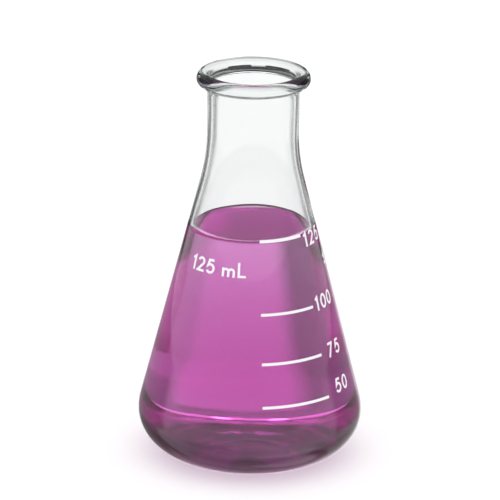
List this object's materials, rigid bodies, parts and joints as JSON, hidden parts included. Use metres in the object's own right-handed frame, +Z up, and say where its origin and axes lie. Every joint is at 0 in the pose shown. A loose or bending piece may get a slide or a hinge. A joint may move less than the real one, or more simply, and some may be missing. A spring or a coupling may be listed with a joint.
{
  "type": "erlenmeyer flask",
  "caption": "Narrow-mouth conical laboratory flask of clear glass with a beaded rim, fired white graduations and a magenta solution up to its nominal mark.",
  "frame": {"origin": "centre of the resting ring, on the surface that the flask stands on", "axes": "+Z up along the flask's axis, out of the mouth; -Y is the front, with the capacity mark to its left (-X) and the graduations to its right (+X)"},
  "size_m": [0.064, 0.064, 0.1134],
  "materials": {
    "flask_glass": "clear fire-polished borosilicate glass",
    "solution": "clear magenta solution",
    "enamel": "fired white enamel, slightly raised, satin gloss"
  },
  "bodies": {
    "root": {"glass_body": "flask_glass", "liquid": "solution", "graduation_50": "enamel", "graduation_75": "enamel", "graduation_100": "enamel", "graduation_125": "enamel", "numeral_50": "enamel", "numeral_75": "enamel", "numeral_100": "enamel", "numeral_125": "enamel", "capacity_mark": "enamel", "tolerance_mark": "enamel"}
  },
  "joints": []
}
